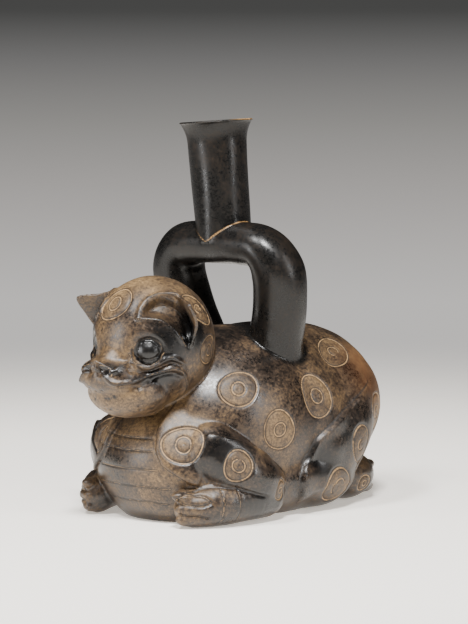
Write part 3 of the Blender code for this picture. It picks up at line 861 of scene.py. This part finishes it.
def studioFloor():
    mesh = bpy.data.meshes.new("studioFloor")
    corners = [(x * paper["half"], y * paper["half"], 0) for x, y in ((-1, -1), (1, -1), (1, 1), (-1, 1))]
    mesh.from_pydata(corners, [], [(0, 1, 2, 3)])
    material = bpy.data.materials.new("studio paper")
    material.use_nodes = True
    tree = material.node_tree
    shader = tree.nodes["Principled BSDF"]
    glow, strength = paper["glow"]
    shader.inputs["Base Color"].default_value = fromHex(paper["colour"])
    shader.inputs["Roughness"].default_value = paper["roughness"]
    shader.inputs["Emission Color"].default_value = fromHex(glow)
    shader.inputs["Emission Strength"].default_value = strength
    place = node(tree, "ShaderNodeTexCoord").outputs["Object"]
    away = node(tree, "ShaderNodeVectorMath", {0: place}, operation="LENGTH").outputs["Value"]
    near, far = paper["fade"]
    share = node(tree, "ShaderNodeMapRange", {"Value": away, "From Min": near, "From Max": far},
                 interpolation_type="SMOOTHSTEP").outputs["Result"]
    clear = node(tree, "ShaderNodeBsdfTransparent").outputs[0]
    mix = node(tree, "ShaderNodeMixShader", {0: share, 1: shader.outputs[0], 2: clear})
    tree.links.new(mix.outputs[0], tree.nodes["Material Output"].inputs["Surface"])
    mesh.materials.append(material)
    floor = placed("studioFloor", mesh)


# Grey backdrop, darker above: the colour follows the height of the direction looked in.
# It lights the vessel like a backdrop that hangs behind it, and the room in front of it is kept dark.
backdrop = ((0.0, "#ebe8e4"), (0.20, "#dad7d4"), (0.256, "#d7d4d1"), (0.344, "#d3d0cd"), (0.43, "#b3afac"),
            (0.50, "#918f8c"), (0.552, "#727170"), (0.595, "#4a4a49"), (0.90, "#3a3a3a"))


def studioAir():
    world = bpy.data.worlds.new("studio air")
    world.use_nodes = True
    tree = world.node_tree
    place = node(tree, "ShaderNodeTexCoord").outputs["Generated"]
    height = node(tree, "ShaderNodeSeparateXYZ", {0: place}).outputs["Z"]
    ramp = node(tree, "ShaderNodeValToRGB")
    shift = node(tree, "ShaderNodeMapRange", {"Value": height, "From Min": -0.25, "From Max": 0.25}).outputs["Result"]
    tree.links.new(shift, ramp.inputs[0])
    stops = ramp.color_ramp.elements
    stops[1].position = backdrop[-1][0]
    for where, code in backdrop[1:-1]:
        stops.new(where)
    for stop, (where, code) in zip(stops, backdrop):
        stop.color = fromHex(code)
    tree.links.new(ramp.outputs[0], tree.nodes["Background"].inputs["Color"])
    seen = node(tree, "ShaderNodeLightPath").outputs["Is Camera Ray"]
    # the room's front, along the line from the vessel to (0.67, -0.74, 0)
    forward = node(tree, "ShaderNodeVectorMath", {0: place, 1: (0.67, -0.74, 0)},
                   operation="DOT_PRODUCT").outputs["Value"]
    lit = node(tree, "ShaderNodeMapRange", {"Value": forward, "From Min": -0.6, "From Max": 0.5, "To Min": 0.6,
               "To Max": 0.12}, interpolation_type="SMOOTHSTEP").outputs["Result"]
    strength = node(tree, "ShaderNodeMath", {0: seen, 1: lit}, operation="MAXIMUM").outputs[0]
    tree.links.new(strength, tree.nodes["Background"].inputs["Strength"])
    bpy.context.scene.world = world


# Soft boxes round the vessel: azimuth, elevation, distance in metres, width, height, watts
softBoxes = (
    ("left", -24, 8, 1.05, 0.08, 0.45, 5),
    ("right", 97, 20, 1.3, 0.10, 0.9, 8),
    ("top", 44, 58, 1.3, 0.20, 0.20, 30),
    ("front", -4, 58, 1.6, 0.30, 0.30, 24),
)


def studioLights():
    middle = Vector((0, 0, 0.1))
    for name, azimuth, elevation, distance, width, height, watts in softBoxes:
        a, e = math.radians(azimuth), math.radians(elevation)
        light = bpy.data.lights.new(name, "AREA")
        light.shape = "RECTANGLE"
        light.size, light.size_y, light.energy = width, height, watts
        lamp = bpy.data.objects.new(name, light)
        toward = Vector((math.sin(a) * math.cos(e), -math.cos(a) * math.cos(e), math.sin(e)))
        lamp.location = middle + distance * toward
        lamp.rotation_euler = (middle - lamp.location).to_track_quat("-Z", "Y").to_euler()
        bpy.context.scene.collection.objects.link(lamp)


# The photograph's view: degrees round the left front and up, metres from the point looked at and that point's
# height, and the lens and film in millimetres
view = {"azimuth": 42, "elevation": 4.78, "distance": 1.4, "height": 0.118, "lens": 132.1, "film": 36}


def studioCamera():
    a, e = math.radians(view["azimuth"]), math.radians(view["elevation"])
    back = Vector((math.sin(a) * math.cos(e), -math.cos(a) * math.cos(e), math.sin(e)))
    right = Vector((math.cos(a), math.sin(a), 0))
    camera = bpy.data.objects.new("camera", bpy.data.cameras.new("camera"))
    turned = Matrix((right, back.cross(right), back)).transposed().to_4x4()
    camera.matrix_world = Matrix.Translation(Vector((0, 0, view["height"])) + view["distance"] * back) @ turned
    camera.data.lens = view["lens"]
    camera.data.sensor_width = view["film"]
    bpy.context.scene.collection.objects.link(camera)
    bpy.context.scene.camera = camera


studioCamera()
studioFloor()
studioAir()
studioLights()
buildVessel()
print("vessel made")
